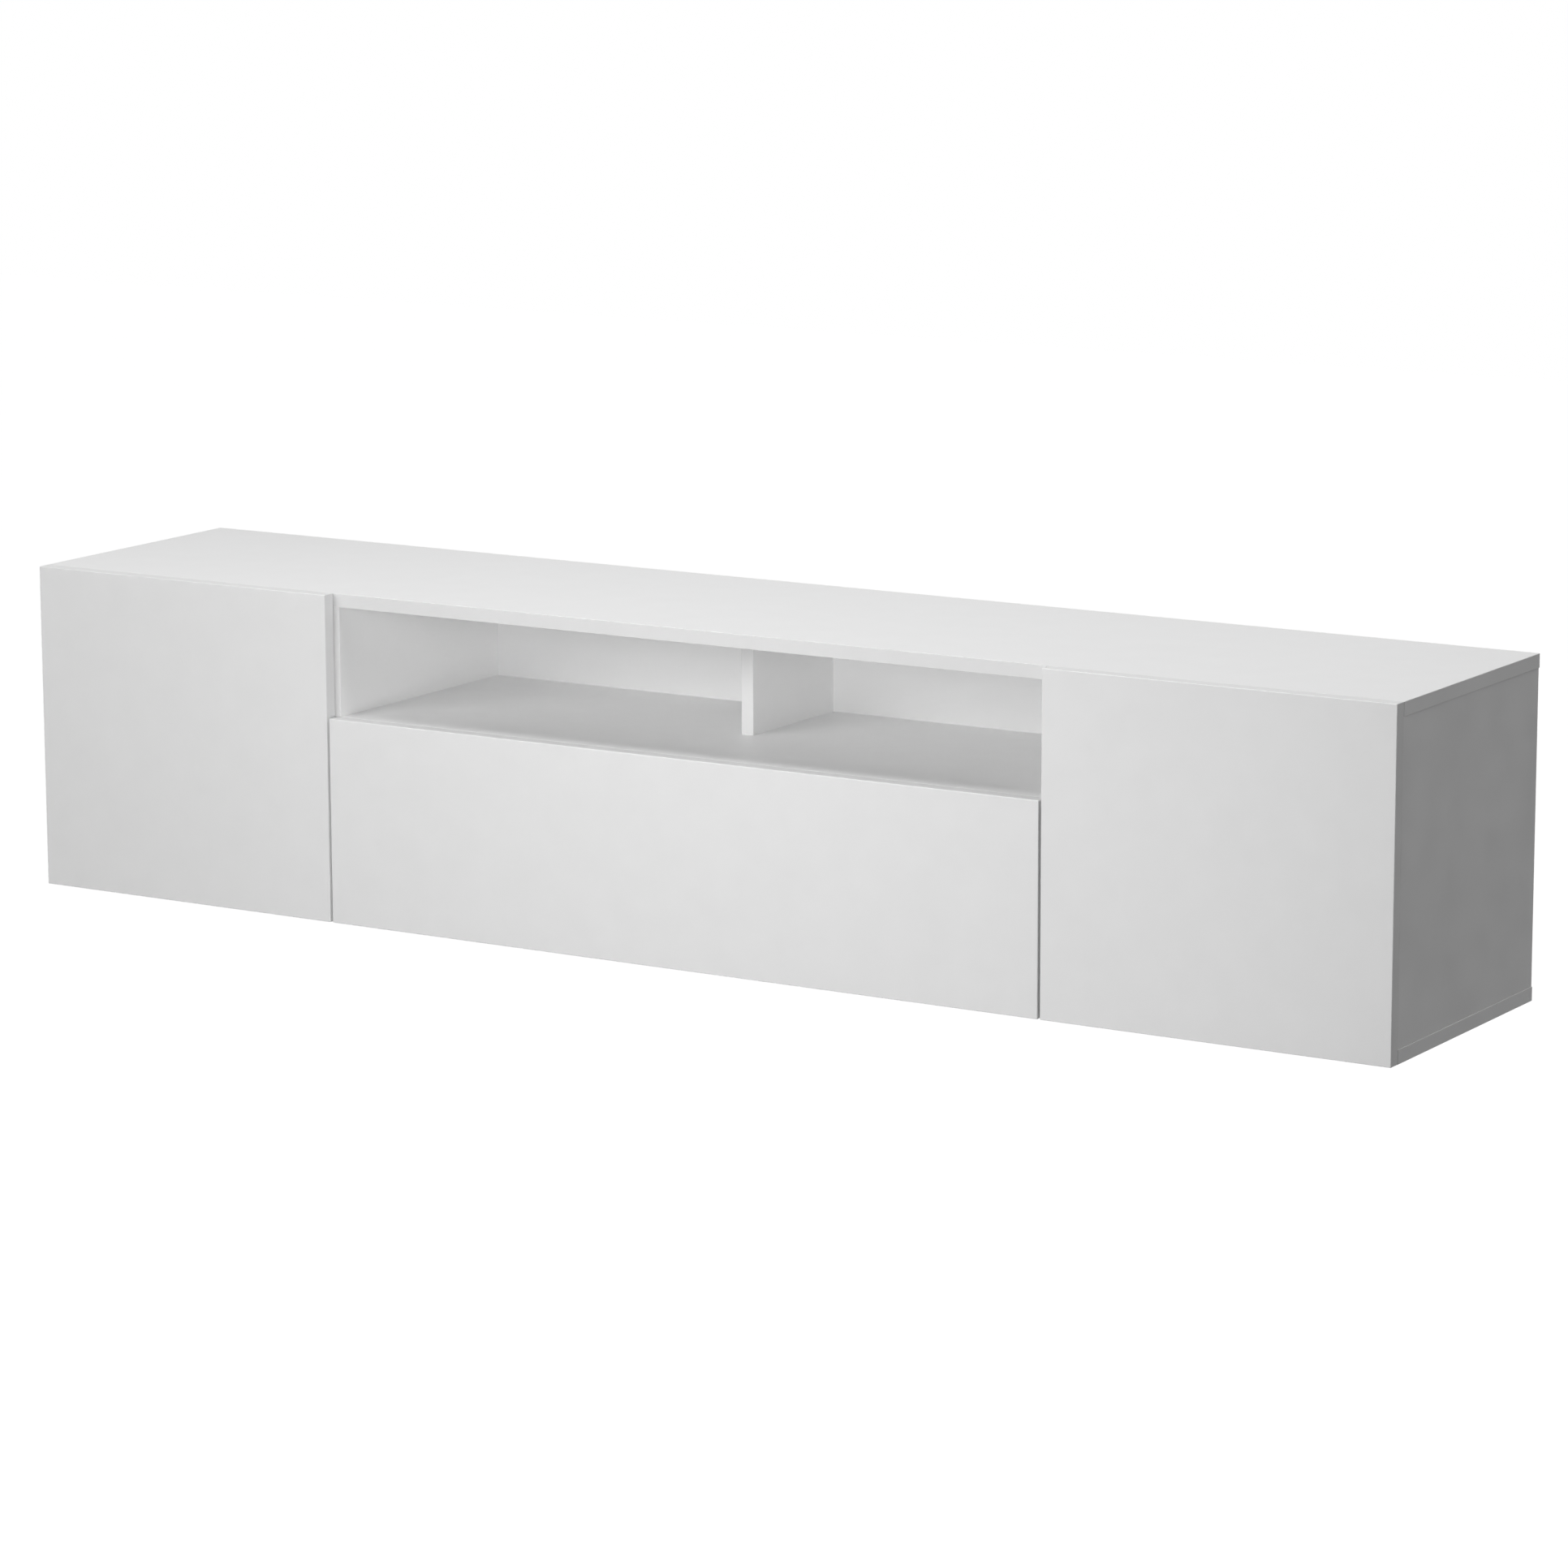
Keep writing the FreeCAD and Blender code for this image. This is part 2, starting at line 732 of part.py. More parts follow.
def side_bar(start, end, radius, offset0, offset1):
    """A bar between two (y, z) points, between two distances from the partition"""
    length = math.hypot(end[0] - start[0], end[1] - start[1])
    flat = bar((0, 0), (length, 0), radius, 0, offset1 - offset0)
    flat.rotate(origin, axis_x, 90)
    flat.rotate(origin, axis_z, 90)
    angle = math.degrees(math.atan2(end[1] - start[1], end[0] - start[0]))
    flat.rotate(origin, axis_x, angle)
    return moved(flat, stay_plane(offset1), *start)


def stay_arm():
    end = stay_slot_end + guide_pin_radius + stay_half_width / 2
    arm = side_bar(along_stay(0), along_stay(end), stay_half_width, arm_outer_face, arm_inner_face)
    slot = side_bar(along_stay(stay_slot_start), along_stay(stay_slot_end), guide_pin_radius + guide_slot_fit,
                    arm_outer_face - overrun, arm_inner_face + overrun)
    hole = rod(stay_pin_radius + stay_pin_fit, stay_thickness + 2 * overrun,
               vec(stay_plane(arm_inner_face + overrun), *along_stay(0)), axis_x)
    return cut(arm, [slot, hole])


def stay_guide_pin():
    y, z = stay_point(stay_guide)
    base = rod(guide_base_radius, guide_base_thickness, vec(stay_plane(guide_base_thickness), y, z), axis_x)
    neck_end = arm_inner_face + stay_gap
    neck = rod(guide_pin_radius, neck_end, vec(stay_plane(neck_end), y, z), axis_x)
    head_end = stay_plane(neck_end + guide_head_thickness)
    head = rod(guide_head_radius, guide_head_thickness, vec(head_end, y, z), axis_x)
    head = rounded(head, guide_head_round, lambda c: c.x < head_end + hair)
    thread = rod(guide_pin_radius - guide_thread_under, small_screw_length, vec(x_part_in, y, z), axis_x)
    return fuse(base, neck, head, thread)


def stay_guide_hole():
    y, z = stay_point(stay_guide)
    return rod(guide_pin_radius - guide_thread_under + fitting_fit, small_screw_length + fitting_fit + overrun,
               vec(x_part_in - overrun, y, z), axis_x)


def stay_bracket():
    y, z = stay_point(stay_flap_pivot)
    outer, inner = stay_plane(bracket_outer_face), stay_plane(bracket_inner_face)
    ear = fuse(box(inner, outer, y_front_inner, y, z - bracket_ear_radius, z + bracket_ear_radius),
               rod(bracket_ear_radius, bracket_thickness, vec(inner, y, z), axis_x))
    foot = box(outer - bracket_foot_width, outer, y_front_inner, y_front_inner + bracket_thickness,
               z - bracket_foot_half_height, z + bracket_foot_half_height)
    pin = rod(stay_pin_radius, bracket_inner_face - arm_outer_face, vec(inner, y, z), axis_x)
    collar = rod(stay_pin_radius + bracket_collar_over, stay_gap / 2, vec(outer, y, z), axis_x)
    holes = [screw_hole(small_screw_radius, small_screw_length, head, axis_y * -1)
             for head in bracket_screw_heads()]
    return cut(fuse(foot, ear, pin, collar), holes)


def bracket_screw_heads():
    _, z = stay_point(stay_flap_pivot)
    x = stay_plane(bracket_inner_face) - bracket_foot_width / 2 + bracket_thickness
    reach = bracket_foot_half_height - bracket_screw_from_end
    return [vec(x, y_front_inner + bracket_thickness, z + side * reach) for side in (1, -1)]


def bracket_screws():
    right = [countersunk(small_screw_radius, small_screw_length, head, axis_y * -1)
             for head in bracket_screw_heads()]
    return right + [mirrored(screw) for screw in right]


# Wall rail and hangers

def wall_rail():
    lip_front = -rail_offset - rail_steel
    corners = [(0, -rail_foot), (0, rail_step + rail_steel), (-rail_offset, rail_step + rail_steel),
               (-rail_offset, rail_step + rail_lip), (lip_front, rail_step + rail_lip), (lip_front, rail_step),
               (-rail_steel, rail_step), (-rail_steel, -rail_foot)]
    points = [vec(-rail_half_length, y, z) for y, z in corners]
    rail = Part.Face(Part.makePolygon(points + points[:1])).extrude(vec(2 * rail_half_length, 0, 0))
    holes = [rod(rail_hole_radius, rail_steel + 2 * overrun, vec(side * x, overrun, 0), axis_y * -1)
             for x in rail_hole_lines for side in (1, -1)]
    return cut(rail, holes)


def hanger_faces():
    """Faces that carry the hangers: (x, way into the bay)"""
    return [(-x_side_in, 1), (-x_part_out, -1), (x_part_out, 1), (x_side_in, -1)]


hanger_top = z_ceiling - hanger_top_gap
hook_low = rail_step + rail_lip                 # the hook's arm rests on the rail's lip


def hanger_middle(face):
    return face[0] + face[1] * hanger_width / 2


def hanger_box(face):
    x = hanger_middle(face)
    half = hanger_width / 2
    y0 = y_back_front - hanger_depth
    shell = box(x - half, x + half, y0, y_back_front, hanger_top - hanger_height, hanger_top)
    shell = rounded(shell, hanger_round, lambda c: abs(c.y - y0) < hair and abs(abs(c.x - x) - half) > hair)
    pocket = box(x - half + hanger_wall, x + half - hanger_wall, y0 + hanger_wall, y_back_front + overrun,
                 hanger_top - hanger_height + hanger_wall, hanger_top - hanger_wall)
    tunnels = [rod(hanger_screw_radius + pin_fit, 2 * hanger_wall, vec(x, y0 - overrun, z), axis_y)
               for z in hanger_screw_lines()]
    return cut(shell, [pocket] + tunnels + hanger_fixing_cutters(face))


def hanger_screw_lines():
    return hook_low + hook_arm_height / 2, hanger_top - hanger_height + hanger_lift_line


def hanger_screws():
    """The front screw of each hanger draws its hook in, the lower one lifts it."""
    screws = []
    y0 = y_back_front - hanger_depth
    for face in hanger_faces():
        x = hanger_middle(face)
        for z in hanger_screw_lines():
            shank = rod(hanger_screw_radius, hanger_wall + hanger_screw_inside, vec(x, y0, z), axis_y)
            slots = [box(x - w, x + w, y0 - overrun, y0 + hanger_slot_depth, z - h, z + h)
                     for w, h in hanger_slot_sizes]
            screws.append(cut(shank, slots))
    return screws


def hook(face):
    x = hanger_middle(face)
    half = hook_width / 2
    y_tip = -hook_wall_gap
    y_rear = y_back_front - hanger_depth + hanger_wall + hanger_screw_inside
    z_arm_top = hook_low + hook_arm_height
    corners = [(y_rear, hook_low), (y_tip - hook_steel, hook_low), (y_tip - hook_steel, hook_low - hook_drop),
               (y_tip, hook_low - hook_drop), (y_tip, z_arm_top), (y_rear + hook_heel_length, z_arm_top),
               (y_rear + hook_heel_length, z_arm_top + hook_heel_height),
               (y_rear, z_arm_top + hook_heel_height)]
    points = [vec(x - half, y, z) for y, z in corners]
    body = Part.Face(Part.makePolygon(points + points[:1])).extrude(vec(hook_width, 0, 0))
    z_leg = hanger_screw_lines()[1] - hook_leg_below
    leg = box(x - half, x + half, y_rear, y_rear + hook_steel, z_leg, hook_low)
    return fuse(body, leg)


def hanger_fixing_heads(face):
    """Two screws through the hanger's side into the board; (head centre, way)"""
    x = face[0] + face[1] * hanger_wall
    way = axis_x * -face[1]
    z_middle = hanger_top - hanger_height / 2
    y_middle = y_back_front - hanger_depth / 2
    return [(vec(x, y_middle + dy, z_middle + dz), way) for dy, dz in hanger_fixing_places]


def hanger_fixings():
    return [countersunk(small_screw_radius, small_screw_length, head, way)
            for face in hanger_faces() for head, way in hanger_fixing_heads(face)]


def hanger_fixing_cutters(face):
    return [screw_hole(small_screw_radius, small_screw_length, head, way)
            for head, way in hanger_fixing_heads(face)]


def hook_windows():
    """Openings in the back panel that the hooks pass through, open at the panel's top edge."""
    half = hook_window_width / 2
    low = hook_low - hook_drop - hook_arm_height
    windows = []
    for face in hanger_faces():
        x = hanger_middle(face)
        windows.append(box(x - half, x + half, y_back_front - overrun, y_back_rear + overrun, low, z_top))
    return windows


# Panels

def back_groove():
    """The slot that the back panel's edges sit in."""
    return box(-x_side_in - groove_depth, x_side_in + groove_depth, y_back_front - groove_fit,
               y_back_rear + groove_fit, z_floor - groove_depth, z_ceiling + groove_depth)


def back_panel():
    reach = groove_depth - groove_fit
    panel = box(-x_side_in - reach, x_side_in + reach, y_back_front, y_back_rear,
                z_floor - reach, z_ceiling + reach)
    return cut(panel, hook_windows())


def horizontal_panel(z0):
    z1 = z0 + board
    panel = box(-x_end, x_end, y_front, 0, z0, z1)
    panel = rounded(panel, edge_round, lambda c: abs(abs(c.x) - x_end) < hair or
                    (abs(c.y - y_front) < hair and abs(c.x) < hair))
    return cut(panel, [back_groove()] + fitting_cutters())


def top_panel():
    return cut(horizontal_panel(z_ceiling), latch_cutters_in("left") + latch_cutters_in("right"))


def bottom_panel():
    return cut(horizontal_panel(z_bottom), placed("flap", panel_cutter()))


def latch_cutters_in(front):
    return [cutter for place in latch_places()[front] for cutter in latch_screw_cutters(place)]


def left_side_panel():
    panel = box(-x_side_out, -x_side_in, y_front, 0, z_floor, z_ceiling)
    cutters = [back_groove()] + fitting_cutters() + placed("left", panel_cutter())
    cutters += shelf_pin_holes() + hanger_fixing_cutters(hanger_faces()[0])
    return cut(panel, cutters)


def right_side_panel():
    return mirrored(left_side_panel())


def right_partition():
    panel = box(x_part_in, x_part_out, y_front, y_back_front, z_floor, z_ceiling)
    panel = rounded(panel, edge_round, lambda c: abs(c.y - y_front) < hair and abs(c.x - x_part_in) < hair)
    cutters = fitting_cutters() + shelf_pin_holes() + [stay_guide_hole()]
    cutters += hanger_fixing_cutters(hanger_faces()[2])
    return cut(panel, cutters)


def left_partition():
    return mirrored(right_partition())


def shelf():
    panel = box(-x_part_in, x_part_in, y_front, y_back_front, z_shelf, z_shelf_top)
    panel = rounded(panel, edge_round, lambda c: abs(c.y - y_front) < hair and abs(c.x) < hair)
    return cut(panel, fitting_cutters() + divider_screw_cutters() + latch_cutters_in("flap"))


def shelf_divider():
    half = board / 2
    panel = box(-half, half, y_back_front - divider_depth, y_back_front, z_shelf_top, z_ceiling)
    panel = rounded(panel, edge_round, lambda c: abs(c.y - (y_back_front - divider_depth)) < hair and
                    abs(abs(c.x) - half) < hair)
    return cut(panel, dowel_cutters() + divider_screw_cutters())


# Adjustable shelves

bay_middle = (z_floor + z_ceiling) / 2
shelf_underside = bay_middle - board / 2


def left_adjustable_shelf():
    panel = box(-x_side_in + shelf_end_gap, -x_part_out - shelf_end_gap, y_front + shelf_setback,
                y_back_front - shelf_rear_gap, shelf_underside, shelf_underside + board)
    return rounded(panel, edge_round, lambda c: abs(c.y - (y_front + shelf_setback)) < hair and
                   abs(c.z - bay_middle) > hair)


def right_adjustable_shelf():
    return mirrored(left_adjustable_shelf())


def shelf_pin_places():
    """(point on the board's face, way out of the board), left bay"""
    z = shelf_underside - shelf_pin_block / 2
    lines = (y_front + shelf_pin_from_front, y_back_front - shelf_pin_from_rear)
    return [(vec(x, y, z), way) for y in lines for x, way in ((-x_side_in, axis_x), (-x_part_out, axis_x * -1))]


def shelf_pins():
    pins = []
    half = shelf_pin_block / 2
    for point, way in shelf_pin_places():
        peg = rod(shelf_pin_radius, shelf_pin_depth, point - way * shelf_pin_depth, way)
        x0, x1 = sorted((point.x, point.x + way.x * shelf_pin_reach))
        block = box(x0, x1, point.y - half, point.y + half, point.z - half, point.z + half)
        pins.append(fuse(peg, block))
    return pins + [mirrored(pin) for pin in pins]


def shelf_pin_holes():
    """Holes for the pins in use, and the spare ones above and below them, in both bays."""
    holes = []
    depth = shelf_pin_depth + fitting_fit
    for point, way in shelf_pin_places():
        for step in shelf_hole_steps:
            start = point + axis_z * (step * shelf_hole_step) + way * overrun
            holes.append(rod(shelf_pin_radius + fitting_fit, depth + overrun, start, way * -1))
    return holes + [mirrored(hole) for hole in holes]


# Fronts

def front(x0, x1, z0, z1, cutters):
    panel = box(x0, x1, y_front_outer, y_front_inner, z0, z1)
    panel = panel.makeFillet(front_round, [edge for edge in panel.Edges
                                           if edge.CenterOfMass.y < (y_front_outer + y_front_inner) / 2 + hair])
    return cut(panel, cutters)


def left_door():
    cutters = placed("left", front_cutter()) + [strike(place, strike_fit) for place in latch_places()["left"]]
    return front(-x_end, -x_door_in, z_bottom, z_top, cutters)


def right_door():
    return mirrored(left_door())


def flap():
    cutters = placed("flap", front_cutter()) + [strike(place, strike_fit) for place in latch_places()["flap"]]
    for head in bracket_screw_heads():
        hole = rod(small_screw_radius + fitting_fit, small_screw_length, head, axis_y * -1)
        cutters += [hole, mirrored(hole)]
    return front(-x_flap, x_flap, z_bottom, z_bottom + flap_height, cutters)


def all_nodes():
    nodes = {
        "top_panel": top_panel(),
        "bottom_panel": bottom_panel(),
        "left_side_panel": left_side_panel(),
        "right_side_panel": right_side_panel(),
        "left_partition": left_partition(),
        "right_partition": right_partition(),
        "shelf": shelf(),
        "shelf_divider": shelf_divider(),
        "back_panel": back_panel(),
        "left_adjustable_shelf": left_adjustable_shelf(),
        "right_adjustable_shelf": right_adjustable_shelf(),
        "shelf_pins": shelf_pins(),
        "cam_bolts": cam_bolts(),
        "cam_locks": cam_locks(),
        "dowels": dowels(),
        "divider_screws": divider_screws(),
        "wall_rail": wall_rail(),
        "hanger_boxes": [hanger_box(face) for face in hanger_faces()],
        "hanger_hooks": [hook(face) for face in hanger_faces()],
        "hanger_adjusting_screws": hanger_screws(),
        "small_screws": hanger_fixings() + latch_screws(),
        "left_door": left_door(),
        "right_door": right_door(),
        "flap": flap(),
        "hinge_plate_screws": [screw for name in hinge_sets for screw in placed(name, plate_screws())],
        "hinge_adjusting_screws": [screw for name in hinge_sets for screw in placed(name, adjusters())],
        "right_stay_arm": stay_arm(),
        "left_stay_arm": mirrored(stay_arm()),
        "right_stay_guide": stay_guide_pin(),
        "left_stay_guide": mirrored(stay_guide_pin()),
        "right_stay_bracket": stay_bracket(),
        "left_stay_bracket": mirrored(stay_bracket()),
        "stay_bracket_screws": bracket_screws(),
    }
    for name in hinge_sets:
        nodes[name + "_hinge_plates"] = placed(name, hinge_plate())
        nodes[name + "_hinge_arms"] = placed(name, hinge_arm())
        nodes[name + "_hinge_cups"] = placed(name, hinge_cup())
        nodes[name + "_hinge_inner_links"] = placed(name, inner_link())
        nodes[name + "_hinge_outer_links"] = placed(name, outer_link())
        nodes[name + "_cup_screws"] = placed(name, cup_screws())
    for name, places in latch_places().items():
        nodes[name + "_latch"] = [latch(place) for place in places]
        nodes[name + "_latch_plunger"] = [plunger(place) for place in places]
        nodes[name + "_strike_plate"] = [strike(place) for place in places]
    return nodes


def main():
    os.makedirs("parts", exist_ok=True)
    for name, shape in all_nodes().items():
        solids = shape if isinstance(shape, list) else [shape]
        solids = [solid for item in solids for solid in item.Solids]
        node = solids[0] if len(solids) == 1 else Part.makeCompound(solids)
        node.exportStep("parts/" + name + ".step")
        state = "valid" if node.isValid() else "NOT VALID"
        print(name, len(solids), "solids", round(node.Volume), "mm3", state)


main()
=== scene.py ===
# Looks of a wall-hung media console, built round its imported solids.
import bpy
import json
import math
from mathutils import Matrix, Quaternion, Vector

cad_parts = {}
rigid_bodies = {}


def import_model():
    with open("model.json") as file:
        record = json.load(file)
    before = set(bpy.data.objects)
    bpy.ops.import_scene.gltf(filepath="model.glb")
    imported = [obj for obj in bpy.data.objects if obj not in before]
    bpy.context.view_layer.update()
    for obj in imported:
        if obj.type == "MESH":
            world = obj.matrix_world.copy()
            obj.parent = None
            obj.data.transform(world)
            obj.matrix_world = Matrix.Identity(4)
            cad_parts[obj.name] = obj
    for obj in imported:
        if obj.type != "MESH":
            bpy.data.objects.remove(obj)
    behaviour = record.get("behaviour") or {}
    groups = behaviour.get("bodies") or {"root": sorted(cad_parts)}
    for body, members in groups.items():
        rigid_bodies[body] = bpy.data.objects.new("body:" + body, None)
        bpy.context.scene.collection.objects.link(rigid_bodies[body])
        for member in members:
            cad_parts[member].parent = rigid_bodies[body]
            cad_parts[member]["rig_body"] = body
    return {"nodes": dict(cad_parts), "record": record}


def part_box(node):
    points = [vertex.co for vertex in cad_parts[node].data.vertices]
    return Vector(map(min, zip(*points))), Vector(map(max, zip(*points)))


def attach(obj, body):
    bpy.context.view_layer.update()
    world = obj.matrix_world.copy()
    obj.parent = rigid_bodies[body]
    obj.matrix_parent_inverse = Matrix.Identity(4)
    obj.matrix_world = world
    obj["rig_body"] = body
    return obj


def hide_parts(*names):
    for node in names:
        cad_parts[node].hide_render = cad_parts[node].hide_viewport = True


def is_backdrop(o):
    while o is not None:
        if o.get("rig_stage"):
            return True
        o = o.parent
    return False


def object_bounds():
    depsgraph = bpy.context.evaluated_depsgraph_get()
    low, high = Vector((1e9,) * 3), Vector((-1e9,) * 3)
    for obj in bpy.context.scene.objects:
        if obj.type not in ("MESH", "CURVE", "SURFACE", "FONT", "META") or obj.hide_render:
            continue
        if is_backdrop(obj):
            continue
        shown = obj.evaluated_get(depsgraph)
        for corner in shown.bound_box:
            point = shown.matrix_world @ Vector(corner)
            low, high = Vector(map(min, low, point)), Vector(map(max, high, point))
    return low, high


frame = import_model()
nodes = frame["nodes"]
cadLow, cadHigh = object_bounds()
print("frame loaded:", len(nodes), "nodes")
bpy.ops.object.select_all(action="DESELECT")
bodyOfNode = {node: nodes[node]["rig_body"] for node in nodes}
slotOfNode = {part["node"]: part["material_slot"] for part in frame["record"]["subparts"]}


# Node helpers

def addNode(tree, kind, x, y, **settings):
    node = tree.nodes.new(kind)
    node.location = (x, y)
    for name, value in settings.items():
        setattr(node, name, value)
    return node


def addGroup(tree, group, x, y, **values):
    node = addNode(tree, "ShaderNodeGroup", x, y, node_tree=group)
    for name, value in values.items():
        node.inputs[name].default_value = value
    return node


def newGroup(name, inputs, outputs):
    # inputs: name -> (socket type, default); outputs: name -> socket type
    group = bpy.data.node_groups.new(name, "ShaderNodeTree")
    for label, (kind, value) in inputs.items():
        socket = group.interface.new_socket(name=label, in_out="INPUT", socket_type=kind)
        if value is not None:
            socket.default_value = value
    for label, kind in outputs.items():
        group.interface.new_socket(name=label, in_out="OUTPUT", socket_type=kind)
    start = addNode(group, "NodeGroupInput", -900, 0)
    end = addNode(group, "NodeGroupOutput", 900, 0)
    return group, start, end


def mathNode(tree, operation, x, y, first, second=None, clamp=False):
    node = addNode(tree, "ShaderNodeMath", x, y, operation=operation, use_clamp=clamp)
    for slot, value in enumerate((first, second)):
        if isinstance(value, (int, float)):
            node.inputs[slot].default_value = value
        elif value is not None:
            tree.links.new(value, node.inputs[slot])
    return node.outputs[0]


def mixColour(tree, x, y, factor, first, second):
    # sockets 0, 6 and 7 are the factor and the two colours
    node = addNode(tree, "ShaderNodeMix", x, y, data_type="RGBA")
    for slot, value in ((0, factor), (6, first), (7, second)):
        if isinstance(value, bpy.types.NodeSocket):
            tree.links.new(value, node.inputs[slot])
        else:
            node.inputs[slot].default_value = value
    return node.outputs[2]


def mapRange(tree, x, y, value, low, high, toLow, toHigh):
    node = addNode(tree, "ShaderNodeMapRange", x, y)
    tree.links.new(value, node.inputs[0])
    for slot, number in enumerate((low, high, toLow, toHigh), 1):
        node.inputs[slot].default_value = number
    return node.outputs[0]


def grey(value):
    return (value, value, value, 1.0)


def newMaterial(name):
    material = bpy.data.materials.new(name)
    material.use_nodes = True
    tree = material.node_tree
    shader = tree.nodes["Principled BSDF"]
    shader.location = (500, 0)
    tree.nodes["Material Output"].location = (800, 0)
    coords = addNode(tree, "ShaderNodeTexCoord", -1100, 0).outputs["Object"]
    return material, tree, shader, coords


def bumpInto(tree, shader, height, strength, distance):
    bump = addNode(tree, "ShaderNodeBump", 250, -300)
    bump.inputs["Strength"].default_value = strength
    bump.inputs["Distance"].default_value = distance
    tree.links.new(height, bump.inputs["Height"])
    tree.links.new(bump.outputs["Normal"], shader.inputs["Normal"])


def seenRays(tree):
    # 1 for what the camera, a reflection or a clear piece sees, 0 for light that is thrown back
    path = addNode(tree, "ShaderNodeLightPath", -900, 0)
    seen = mathNode(tree, "MAXIMUM", -750, 0, path.outputs["Is Camera Ray"], path.outputs["Is Glossy Ray"])
    return mathNode(tree, "MAXIMUM", -600, 0, seen, path.outputs["Is Transmission Ray"])


# Effects that several finishes use

stipple = {
    "pimplesPerMetre": 900.0, "detail": 3.0, "roughness": 0.6,
    "swell": 0.3, "swellsPerMetre": 22.0, "swellDetail": 2.0, "shadeFrom": 0.3, "shadeTo": 0.7,
}


def stippleGroup():
    # fine orange-peel skin: small pimples over a slow swell
    group, start, end = newGroup(
        "fineStipple",
        {"Coordinates": ("NodeSocketVector", None),
         "Pimples Per Metre": ("NodeSocketFloat", stipple["pimplesPerMetre"]),
         "Swell": ("NodeSocketFloat", stipple["swell"])},
        {"Height": "NodeSocketFloat", "Shade": "NodeSocketFloat"})
    fine = addNode(group, "ShaderNodeTexNoise", -500, 150)
    fine.inputs["Detail"].default_value = stipple["detail"]
    fine.inputs["Roughness"].default_value = stipple["roughness"]
    slow = addNode(group, "ShaderNodeTexNoise", -500, -150)
    slow.inputs["Scale"].default_value = stipple["swellsPerMetre"]
    slow.inputs["Detail"].default_value = stipple["swellDetail"]
    group.links.new(start.outputs["Coordinates"], fine.inputs["Vector"])
    group.links.new(start.outputs["Coordinates"], slow.inputs["Vector"])
    group.links.new(start.outputs["Pimples Per Metre"], fine.inputs["Scale"])
    swell = mathNode(group, "MULTIPLY", -200, -150, slow.outputs["Fac"], start.outputs["Swell"])
    group.links.new(mathNode(group, "ADD", 100, 100, fine.outputs["Fac"], swell), end.inputs["Height"])
    shade = mapRange(group, 100, -150, slow.outputs["Fac"],
                     stipple["shadeFrom"], stipple["shadeTo"], 0.0, 1.0)
    group.links.new(shade, end.inputs["Shade"])
    return group


core = {"skin": 0.0004, "rearWithin": 0.0001}   # metres


def coreGroup():
    # 1 where a point lies deeper than the skin inside the board's own box, or on its unbanded rear edge
    group, start, end = newGroup(
        "boardCore",
        {"Coordinates": ("NodeSocketVector", None), "Low": ("NodeSocketVector", None),
         "High": ("NodeSocketVector", None), "Skin": ("NodeSocketFloat", core["skin"]),
         "Raw Rear": ("NodeSocketFloat", 0.0)},
        {"Core": "NodeSocketFloat"})
    below = addNode(group, "ShaderNodeVectorMath", -650, 150, operation="SUBTRACT")
    above = addNode(group, "ShaderNodeVectorMath", -650, -150, operation="SUBTRACT")
    group.links.new(start.outputs["Coordinates"], below.inputs[0])
    group.links.new(start.outputs["Low"], below.inputs[1])
    group.links.new(start.outputs["High"], above.inputs[0])
    group.links.new(start.outputs["Coordinates"], above.inputs[1])
    nearest = addNode(group, "ShaderNodeVectorMath", -450, 0, operation="MINIMUM")
    group.links.new(below.outputs[0], nearest.inputs[0])
    group.links.new(above.outputs[0], nearest.inputs[1])
    axes = addNode(group, "ShaderNodeSeparateXYZ", -250, 0)
    group.links.new(nearest.outputs[0], axes.inputs[0])
    depth = mathNode(group, "MINIMUM", -50, 100, axes.outputs[0], axes.outputs[1])
    depth = mathNode(group, "MINIMUM", 120, 100, depth, axes.outputs[2])
    inside = mathNode(group, "GREATER_THAN", 300, 100, depth, start.outputs["Skin"])
    rearAxes = addNode(group, "ShaderNodeSeparateXYZ", -250, -250)
    group.links.new(above.outputs[0], rearAxes.inputs[0])
    rear = mathNode(group, "LESS_THAN", -50, -250, rearAxes.outputs[1], core["rearWithin"])
    rear = mathNode(group, "MULTIPLY", 120, -250, rear, start.outputs["Raw Rear"])
    group.links.new(mathNode(group, "MAXIMUM", 500, 0, inside, rear), end.inputs["Core"])
    return group


chipboard = {
    "chipsPerMetre": 420.0, "squash": (0.45, 1.0, 1.0), "grainsPerMetre": 1500.0,
    "blendFrom": 0.05, "blendTo": 0.55, "pale": (0.56, 0.41, 0.26, 1.0), "dark": (0.30, 0.19, 0.10, 1.0),
}


